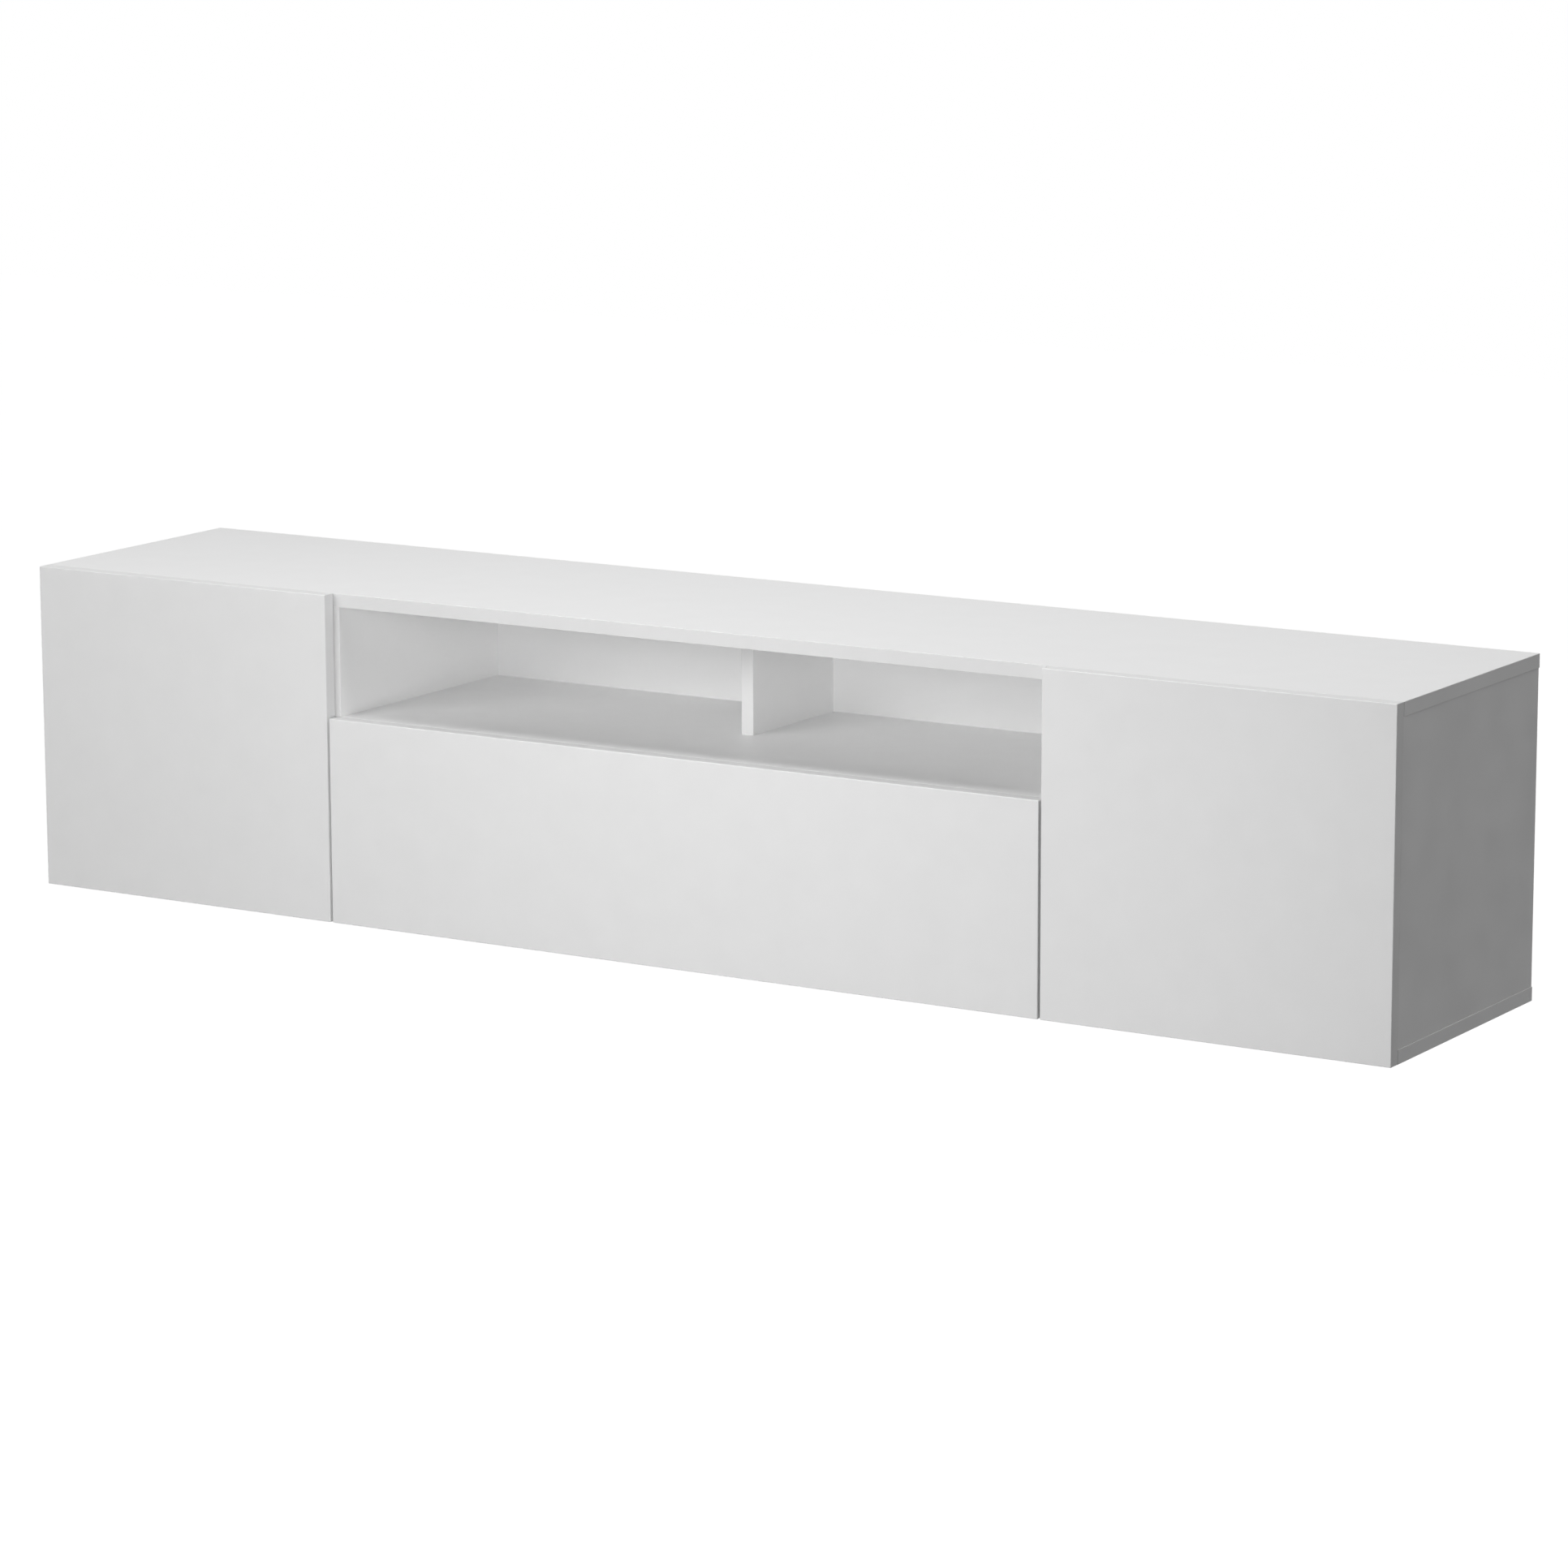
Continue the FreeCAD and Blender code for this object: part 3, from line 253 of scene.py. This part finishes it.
def chipboardGroup():
    # pressed chips: pale flakes with darker glue between
    group, start, end = newGroup(
        "pressedChips",
        {"Coordinates": ("NodeSocketVector", None),
         "Chips Per Metre": ("NodeSocketFloat", chipboard["chipsPerMetre"]),
         "Pale": ("NodeSocketColor", chipboard["pale"]), "Dark": ("NodeSocketColor", chipboard["dark"])},
        {"Color": "NodeSocketColor", "Height": "NodeSocketFloat"})
    squash = addNode(group, "ShaderNodeMapping", -700, 0)
    squash.inputs["Scale"].default_value = chipboard["squash"]
    chips = addNode(group, "ShaderNodeTexVoronoi", -500, 100)
    grain = addNode(group, "ShaderNodeTexNoise", -500, -200)
    grain.inputs["Scale"].default_value = chipboard["grainsPerMetre"]
    group.links.new(start.outputs["Coordinates"], squash.inputs["Vector"])
    group.links.new(squash.outputs[0], chips.inputs["Vector"])
    group.links.new(start.outputs["Coordinates"], grain.inputs["Vector"])
    group.links.new(start.outputs["Chips Per Metre"], chips.inputs["Scale"])
    tone = addNode(group, "ShaderNodeSeparateColor", -250, 100)
    group.links.new(chips.outputs["Color"], tone.inputs[0])
    blend = mathNode(group, "MULTIPLY", -50, 0, tone.outputs[0], grain.outputs["Fac"])
    blend = mapRange(group, 150, 0, blend, chipboard["blendFrom"], chipboard["blendTo"], 0.0, 1.0)
    group.links.new(mixColour(group, 400, 100, blend, start.outputs["Dark"], start.outputs["Pale"]),
                    end.inputs["Color"])
    group.links.new(blend, end.inputs["Height"])
    return group


rolled = {
    "stretch": (40.0, 1500.0, 1500.0), "detail": 4.0, "streakFrom": 0.3, "streakTo": 0.7,
    "mottlePerMetre": 140.0, "mottleDetail": 3.0, "mottleFrom": 0.3, "mottleTo": 0.7,
}


def brushGroup():
    # long streaks along one axis, for rolled and stamped steel
    group, start, end = newGroup(
        "rolledStreaks",
        {"Coordinates": ("NodeSocketVector", None), "Stretch": ("NodeSocketVector", rolled["stretch"]),
         "Mottle Per Metre": ("NodeSocketFloat", rolled["mottlePerMetre"])},
        {"Streaks": "NodeSocketFloat", "Mottle": "NodeSocketFloat"})
    along = addNode(group, "ShaderNodeVectorMath", -650, 100, operation="MULTIPLY")
    group.links.new(start.outputs["Coordinates"], along.inputs[0])
    group.links.new(start.outputs["Stretch"], along.inputs[1])
    streaks = addNode(group, "ShaderNodeTexNoise", -400, 100)
    streaks.inputs["Scale"].default_value = 1.0   # the stretch sets the size
    streaks.inputs["Detail"].default_value = rolled["detail"]
    mottle = addNode(group, "ShaderNodeTexNoise", -400, -200)
    mottle.inputs["Detail"].default_value = rolled["mottleDetail"]
    group.links.new(along.outputs[0], streaks.inputs["Vector"])
    group.links.new(start.outputs["Coordinates"], mottle.inputs["Vector"])
    group.links.new(start.outputs["Mottle Per Metre"], mottle.inputs["Scale"])
    group.links.new(streaks.outputs["Fac"], end.inputs["Streaks"])
    cloud = mapRange(group, 0, -200, mottle.outputs["Fac"],
                     rolled["mottleFrom"], rolled["mottleTo"], 0.0, 1.0)
    group.links.new(cloud, end.inputs["Mottle"])
    return group


fineStipple = stippleGroup()
boardCore = coreGroup()
pressedChips = chipboardGroup()
rolledStreaks = brushGroup()
print("effect groups made")


# Finishes

# The band colour is mostly painted shade and partly the edge tape's own white: front-facing edges get a
# greyer white that stands in for the shade on them
whiteBoard = {
    "colour": 0.90, "shadeChange": 0.012, "roughness": 0.42, "roughnessChange": 0.05,
    "pimplesPerMetre": 900.0, "bump": 0.10, "bumpDepth": 0.00006, "skin": 0.0004, "paintedShadeBandColour": 0.735,
    "chipPale": chipboard["pale"], "chipDark": chipboard["dark"], "chipsPerMetre": chipboard["chipsPerMetre"],
    "coreRoughness": 0.45,
}
# painted light: the inner boards are the same melamine as the outer ones, given a brighter white that stands
# in for light bounced round the open compartments
innerWhiteWithPaintedLight = dict(whiteBoard, colour=0.965, paintedShadeBandColour=0.75)
whiteFront = {
    "colour": 0.78, "shadeChange": 0.010, "roughness": 0.38, "roughnessChange": 0.04,
    "pimplesPerMetre": 1300.0, "bump": 0.08, "bumpDepth": 0.00005, "skin": 0.0005, "paintedShadeBandColour": 0.78,
    "chipPale": (0.50, 0.37, 0.24, 1.0), "chipDark": (0.40, 0.28, 0.17, 1.0), "chipsPerMetre": 1600.0,
    "coreRoughness": 0.45,
}
whiteHardboard = {
    "colour": 0.905, "roughness": 0.50, "roughnessChange": 0.05, "bump": 0.12, "bumpDepth": 0.00006,
    "rearPale": (0.36, 0.24, 0.14, 1.0), "rearDark": (0.22, 0.14, 0.08, 1.0), "rearRoughness": 0.75,
    "fibresPerMetre": 700.0, "shadeLow": 0.985, "paint": 0.0003,
}
paintedShadeFacing = -0.7   # a face whose normal points further to the front than this is a banded edge, and gets painted shade: a greyer white that stands in for the shade on the boards' front edges


def cloudedWhite(tree, y, shade, level, change):
    return mixColour(tree, -350, y, shade, grey(level * (1 - change)), grey(level * (1 + change)))


def boardFinish(name, sizes, low, high, rawRear):
    material, tree, shader, coords = newMaterial(name)
    skin = addGroup(tree, fineStipple, -700, 200, **{"Pimples Per Metre": sizes["pimplesPerMetre"]})
    inside = addGroup(tree, boardCore, -700, -100, Low=low, High=high, Skin=sizes["skin"],
                      **{"Raw Rear": rawRear})
    chips = addGroup(tree, pressedChips, -700, -400, Pale=sizes["chipPale"], Dark=sizes["chipDark"],
                     **{"Chips Per Metre": sizes["chipsPerMetre"]})
    for group in (skin, inside, chips):
        tree.links.new(coords, group.inputs["Coordinates"])
    face = cloudedWhite(tree, 250, skin.outputs["Shade"], sizes["colour"], sizes["shadeChange"])
    # painted shade: the greyer white for faces that look to the front
    paintedShadeBand = cloudedWhite(tree, 500, skin.outputs["Shade"], sizes["paintedShadeBandColour"], sizes["shadeChange"])
    facing = addNode(tree, "ShaderNodeSeparateXYZ", -700, 750)
    tree.links.new(tree.nodes["Texture Coordinate"].outputs["Normal"], facing.inputs[0])
    onPaintedShade = mathNode(tree, "LESS_THAN", -500, 750, facing.outputs[1], paintedShadeFacing)
    white = mixColour(tree, -150, 350, onPaintedShade, face, paintedShadeBand)
    colour = mixColour(tree, 0, 200, inside.outputs["Core"], white, chips.outputs["Color"])
    tree.links.new(colour, shader.inputs["Base Color"])
    satin, change = sizes["roughness"], sizes["roughnessChange"]
    satin = mapRange(tree, -350, 0, skin.outputs["Shade"], 0.0, 1.0, satin - change, satin + change)
    rawPart = mathNode(tree, "MULTIPLY", -100, -50, inside.outputs["Core"], sizes["coreRoughness"])
    tree.links.new(mathNode(tree, "ADD", 100, -50, satin, rawPart, clamp=True), shader.inputs["Roughness"])
    chipHeight = mathNode(tree, "MULTIPLY", -350, -400, chips.outputs["Height"], inside.outputs["Core"])
    height = mathNode(tree, "ADD", 0, -300, skin.outputs["Height"], chipHeight)
    bumpInto(tree, shader, height, sizes["bump"], sizes["bumpDepth"])
    return material


def hardboardFinish(name, sizes, low):
    # painted on the cabinet's side, bare pressed fibre towards the wall
    material, tree, shader, coords = newMaterial(name)
    skin = addGroup(tree, fineStipple, -700, 200, **{"Pimples Per Metre": sizes["fibresPerMetre"]})
    fibre = addGroup(tree, pressedChips, -700, -300, Pale=sizes["rearPale"], Dark=sizes["rearDark"],
                     **{"Chips Per Metre": sizes["fibresPerMetre"]})
    for group in (skin, fibre):
        tree.links.new(coords, group.inputs["Coordinates"])
    axes = addNode(tree, "ShaderNodeSeparateXYZ", -900, -100)
    tree.links.new(coords, axes.inputs[0])
    rear = mathNode(tree, "GREATER_THAN", -700, -50, axes.outputs[1], low.y + sizes["paint"])
    shadow = grey(sizes["colour"] * sizes["shadeLow"])
    white = mixColour(tree, -350, 250, skin.outputs["Shade"], shadow, grey(sizes["colour"]))
    tree.links.new(mixColour(tree, 0, 200, rear, white, fibre.outputs["Color"]), shader.inputs["Base Color"])
    tree.links.new(mapRange(tree, 0, 0, rear, 0.0, 1.0, sizes["roughness"], sizes["rearRoughness"]),
                   shader.inputs["Roughness"])
    bumpInto(tree, shader, skin.outputs["Height"], sizes["bump"], sizes["bumpDepth"])
    return material


metals = {
    "nickelSteel": {"colour": (0.72, 0.70, 0.67), "roughness": 0.30, "change": 0.06, "streak": 0.02,
                    "stretch": (700.0, 90.0, 700.0), "bump": 0.03, "bumpDepth": 0.00001},
    "galvanisedSteel": {"colour": (0.64, 0.65, 0.67), "roughness": 0.40, "change": 0.12, "streak": 0.05,
                        "stretch": (60.0, 900.0, 900.0), "bump": 0.08, "bumpDepth": 0.00002},
    "castZinc": {"colour": (0.60, 0.60, 0.61), "roughness": 0.46, "change": 0.08, "streak": 0.03,
                 "stretch": (500.0, 500.0, 500.0), "bump": 0.10, "bumpDepth": 0.00003},
}


def metalFinish(name):
    sizes = metals[name]
    material, tree, shader, coords = newMaterial(name)
    brush = addGroup(tree, rolledStreaks, -700, 100, Stretch=sizes["stretch"])
    tree.links.new(coords, brush.inputs["Coordinates"])
    dark = tuple(part * (1 - 2 * sizes["streak"]) for part in sizes["colour"]) + (1.0,)
    light = tuple(min(1.0, part * (1 + sizes["streak"])) for part in sizes["colour"]) + (1.0,)
    tone = mixColour(tree, -200, 200, brush.outputs["Mottle"], dark, light)
    tree.links.new(tone, shader.inputs["Base Color"])
    smooth, rough = sizes["roughness"] - sizes["change"] / 2, sizes["roughness"] + sizes["change"] / 2
    worn = mapRange(tree, -200, 0, brush.outputs["Streaks"],
                    rolled["streakFrom"], rolled["streakTo"], smooth, rough)
    tree.links.new(worn, shader.inputs["Roughness"])
    shader.inputs["Metallic"].default_value = 1.0
    bumpInto(tree, shader, brush.outputs["Streaks"], sizes["bump"], sizes["bumpDepth"])
    return material


plastics = {
    "greyPlastic": {"colour": 0.34, "roughness": 0.46, "pimplesPerMetre": 2200.0, "bump": 0.15,
                    "bumpDepth": 0.00004},
    "plungerPlastic": {"colour": 0.62, "roughness": 0.36, "pimplesPerMetre": 2600.0, "bump": 0.08,
                       "bumpDepth": 0.00003},
}
plasticChange = {"darker": 0.95, "lighter": 1.03, "smoother": 0.03, "rougher": 0.05}


def plasticFinish(name):
    sizes = plastics[name]
    material, tree, shader, coords = newMaterial(name)
    skin = addGroup(tree, fineStipple, -700, 100, **{"Pimples Per Metre": sizes["pimplesPerMetre"]})
    tree.links.new(coords, skin.inputs["Coordinates"])
    dark = grey(sizes["colour"] * plasticChange["darker"])
    light = grey(sizes["colour"] * plasticChange["lighter"])
    tone = mixColour(tree, -200, 200, skin.outputs["Shade"], dark, light)
    tree.links.new(tone, shader.inputs["Base Color"])
    smooth = sizes["roughness"] - plasticChange["smoother"]
    rough = sizes["roughness"] + plasticChange["rougher"]
    tree.links.new(mapRange(tree, -200, 0, skin.outputs["Shade"], 0.0, 1.0, smooth, rough),
                   shader.inputs["Roughness"])
    bumpInto(tree, shader, skin.outputs["Height"], sizes["bump"], sizes["bumpDepth"])
    return material


beech = {
    "pale": (0.62, 0.44, 0.28, 1.0), "dark": (0.48, 0.31, 0.18, 1.0), "roughness": 0.6,
    "stretch": (1600.0, 1600.0, 120.0), "bump": 0.2, "bumpDepth": 0.00005,
}


def beechFinish():
    material, tree, shader, coords = newMaterial("beech")
    brush = addGroup(tree, rolledStreaks, -700, 100, Stretch=beech["stretch"])
    tree.links.new(coords, brush.inputs["Coordinates"])
    tree.links.new(mixColour(tree, -200, 200, brush.outputs["Streaks"], beech["dark"], beech["pale"]),
                   shader.inputs["Base Color"])
    shader.inputs["Roughness"].default_value = beech["roughness"]
    bumpInto(tree, shader, brush.outputs["Streaks"], beech["bump"], beech["bumpDepth"])
    return material


carcassBoards = {
    "top_panel": 1.0, "bottom_panel": 1.0, "left_side_panel": 1.0, "right_side_panel": 1.0,
    "left_partition": 0.0, "right_partition": 0.0, "shelf": 0.0, "shelf_divider": 0.0,
    "left_adjustable_shelf": 1.0, "right_adjustable_shelf": 1.0,
}   # node -> 1 where the rear edge is left unbanded
boardsWithPaintedLight = ("left_partition", "right_partition", "shelf", "shelf_divider")
fronts = ("left_door", "right_door", "flap")
finishOfSlot = {
    "beech": beechFinish(),
    "zinc": metalFinish("castZinc"),
    "galvanised_steel": metalFinish("galvanisedSteel"),
    "nickel_steel": metalFinish("nickelSteel"),
    "grey_plastic": plasticFinish("greyPlastic"),
    "plunger_plastic": plasticFinish("plungerPlastic"),
}


def dress(node, material):
    mesh = nodes[node].data
    mesh.materials.clear()
    mesh.materials.append(material)


for node, slot in slotOfNode.items():
    low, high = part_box(node)
    if node in carcassBoards:
        # painted light on the inner boards: their brighter white
        white = innerWhiteWithPaintedLight if node in boardsWithPaintedLight else whiteBoard
        dress(node, boardFinish(node + "_laminate", white, low, high, carcassBoards[node]))
    elif node in fronts:
        dress(node, boardFinish(node + "_foil", whiteFront, low, high, 0.0))
    elif node == "back_panel":
        dress(node, hardboardFinish("back_panel_hardboard", whiteHardboard, low))
    else:
        dress(node, finishOfSlot[slot])
print("finishes on all nodes")


# Hardware with its edges taken off, each in place of its node

softEdges = {
    "left_hinge_arms": 0.00025, "right_hinge_arms": 0.00025, "flap_hinge_arms": 0.00025,
    "left_hinge_plates": 0.0003, "right_hinge_plates": 0.0003, "flap_hinge_plates": 0.0003,
    "left_hinge_cups": 0.0002, "right_hinge_cups": 0.0002, "flap_hinge_cups": 0.0002,
    "left_hinge_inner_links": 0.0002, "right_hinge_inner_links": 0.0002, "flap_hinge_inner_links": 0.0002,
    "left_hinge_outer_links": 0.0002, "right_hinge_outer_links": 0.0002, "flap_hinge_outer_links": 0.0002,
    "left_stay_arm": 0.0003, "right_stay_arm": 0.0003, "left_stay_bracket": 0.00025,
    "right_stay_bracket": 0.00025, "left_stay_guide": 0.0002, "right_stay_guide": 0.0002,
    "left_latch": 0.0004, "right_latch": 0.0004, "flap_latch": 0.0004, "hanger_boxes": 0.0004,
    "hanger_hooks": 0.0004, "wall_rail": 0.0004, "shelf_pins": 0.0004, "back_panel": 0.0002,
}   # node -> width of the softened edge, metres
edgeMaking = {"mergeWithin": 0.000002, "flatWithin": 1.0, "sharpFrom": 35.0, "steps": 2}


def softenEdges(node, width):
    source = nodes[node]
    piece = bpy.data.objects.new(node + "_softened", source.data.copy())
    bpy.context.collection.objects.link(piece)
    bpy.ops.object.select_all(action="DESELECT")
    piece.select_set(True)
    bpy.context.view_layer.objects.active = piece
    bpy.ops.mesh.customdata_custom_splitnormals_clear()
    bpy.ops.object.mode_set(mode="EDIT")
    bpy.ops.mesh.select_all(action="SELECT")
    bpy.ops.mesh.remove_doubles(threshold=edgeMaking["mergeWithin"])
    bpy.ops.mesh.dissolve_limited(angle_limit=math.radians(edgeMaking["flatWithin"]))
    bpy.ops.object.mode_set(mode="OBJECT")
    bevel = piece.modifiers.new("softEdge", "BEVEL")
    bevel.width = width
    bevel.segments = edgeMaking["steps"]
    bevel.limit_method = "ANGLE"
    bevel.angle_limit = math.radians(edgeMaking["sharpFrom"])
    bevel.use_clamp_overlap = False
    bpy.ops.object.modifier_apply(modifier=bevel.name)
    bpy.ops.object.shade_smooth_by_angle(angle=math.radians(edgeMaking["sharpFrom"]))
    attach(piece, bodyOfNode[node])
    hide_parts(node)


for node, width in softEdges.items():
    softenEdges(node, width)
print("edges softened on", len(softEdges), "nodes")


# Room: a pale floor below, soft light from the front and above

studio = {
    "floorDrop": 0.95, "floorSize": 24.0, "floorColour": 0.4, "floorGlow": 0.98,
    "worldLevel": 0.055,
}
softboxes = {
    "topBox": {"place": (0.0, -0.3, 2.6), "size": (2.6, 1.0), "power": 37.0, "glint": True},
    "leftBox": {"place": (-1.35, -2.6, 0.9), "size": (1.6, 0.8), "power": 35.2, "glint": False},
    "rightBox": {"place": (0.6, -1.8, 0.35), "size": (0.6, 0.6), "power": 3.5, "glint": False},
    "lowBox": {"place": (0.6, -1.8, -0.05), "size": (0.6, 0.5), "power": 8.1, "glint": False},
    "openingBox": {"place": (0.62, -1.6, 0.3), "size": (0.5, 0.3), "power": 0.4, "glint": False,
                   "aim": (-0.45, -0.3, -0.05), "spread": 60.0},
    "sideBox": {"place": (3.0, -0.5, 2.4), "size": (1.0, 1.0), "power": 11.0, "glint": False},
    "highSideBox": {"place": (2.0, -0.3, 3.0), "size": (1.0, 1.0), "power": 6.3, "glint": False},
    "rearBox": {"place": (-1.0, 3.0, -0.6), "size": (2.4, 0.8), "power": 6.0, "glint": False},
}
usualAim, usualSpread = (0.0, -0.18, -0.14), 180.0


def makeFloor():
    level = cadLow.z - studio["floorDrop"]
    bpy.ops.mesh.primitive_plane_add(size=studio["floorSize"], location=(0, 0, level))
    floor = bpy.context.object
    floor.name = "floor"
    bpy.ops.object.transform_apply(location=True)
    material = bpy.data.materials.new("paleFloor")
    material.use_nodes = True
    tree = material.node_tree
    tree.nodes.remove(tree.nodes["Principled BSDF"])
    out = tree.nodes["Material Output"]
    matt = addNode(tree, "ShaderNodeBsdfDiffuse", -300, 100)
    matt.inputs["Color"].default_value = grey(studio["floorColour"])
    glow = addNode(tree, "ShaderNodeEmission", -300, -100)
    strength = mathNode(tree, "MULTIPLY", -450, -150, seenRays(tree), studio["floorGlow"])
    tree.links.new(strength, glow.inputs["Strength"])
    both = addNode(tree, "ShaderNodeAddShader", -100, 0)
    tree.links.new(matt.outputs[0], both.inputs[0])
    tree.links.new(glow.outputs[0], both.inputs[1])
    clear = addNode(tree, "ShaderNodeBsdfTransparent", -100, -150)
    side = addNode(tree, "ShaderNodeNewGeometry", -100, 250)
    fromBelow = addNode(tree, "ShaderNodeMixShader", 100, 0)
    tree.links.new(side.outputs["Backfacing"], fromBelow.inputs[0])
    tree.links.new(both.outputs[0], fromBelow.inputs[1])
    tree.links.new(clear.outputs[0], fromBelow.inputs[2])
    tree.links.new(fromBelow.outputs[0], out.inputs["Surface"])
    floor.data.materials.append(material)
    floor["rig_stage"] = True
    return floor


def makeWorld():
    world = bpy.data.worlds.new("studioAir")
    bpy.context.scene.world = world
    world.use_nodes = True
    tree = world.node_tree
    back = tree.nodes["Background"]
    strength = mapRange(tree, -300, 0, seenRays(tree), 0.0, 1.0, studio["worldLevel"], 1.0)
    tree.links.new(strength, back.inputs["Strength"])
    back.inputs["Color"].default_value = (1.0, 1.0, 1.0, 1.0)


def makeSoftbox(name, sizes):
    data = bpy.data.lights.new(name, "AREA")
    data.shape = "RECTANGLE"
    data.size, data.size_y = sizes["size"]
    data.energy = sizes["power"]
    lamp = bpy.data.objects.new(name, data)
    bpy.context.collection.objects.link(lamp)
    lamp.location = sizes["place"]
    lamp.rotation_mode = "QUATERNION"
    aim = Vector(sizes.get("aim", usualAim))
    lamp.rotation_quaternion = (aim - lamp.location).to_track_quat("-Z", "Y")
    data.spread = math.radians(sizes.get("spread", usualSpread))
    lamp.visible_glossy = sizes["glint"]   # off where it would wash out satin board seen at a low angle


makeFloor()
makeWorld()
for name, sizes in softboxes.items():
    makeSoftbox(name, sizes)
bpy.context.scene.view_settings.view_transform = "Standard"
print("room and lights ready")


# Camera

shot = {
    "azimuth": 31.6147, "elevation": 11.19, "roll": 0.163, "distance": 6.6169,
    "aim": (0.0224, -0.151, -0.1528), "lens": 131.35, "sensor": 36.0, "clipFrom": 0.05, "clipTo": 100.0,
}


def makeCamera():
    data = bpy.data.cameras.new("camera")
    data.sensor_width = shot["sensor"]
    data.lens = shot["lens"]
    data.clip_start, data.clip_end = shot["clipFrom"], shot["clipTo"]
    camera = bpy.data.objects.new("camera", data)
    bpy.context.collection.objects.link(camera)
    turn, lift = math.radians(shot["azimuth"]), math.radians(shot["elevation"])
    away = Vector((math.sin(turn) * math.cos(lift), -math.cos(turn) * math.cos(lift), math.sin(lift)))
    camera.location = Vector(shot["aim"]) + away * shot["distance"]
    camera.rotation_mode = "QUATERNION"
    level = (-away).to_track_quat("-Z", "Y")
    camera.rotation_quaternion = level @ Quaternion((0, 0, 1), -math.radians(shot["roll"]))
    bpy.context.scene.camera = camera


makeCamera()
print("camera ready")

low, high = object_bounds()
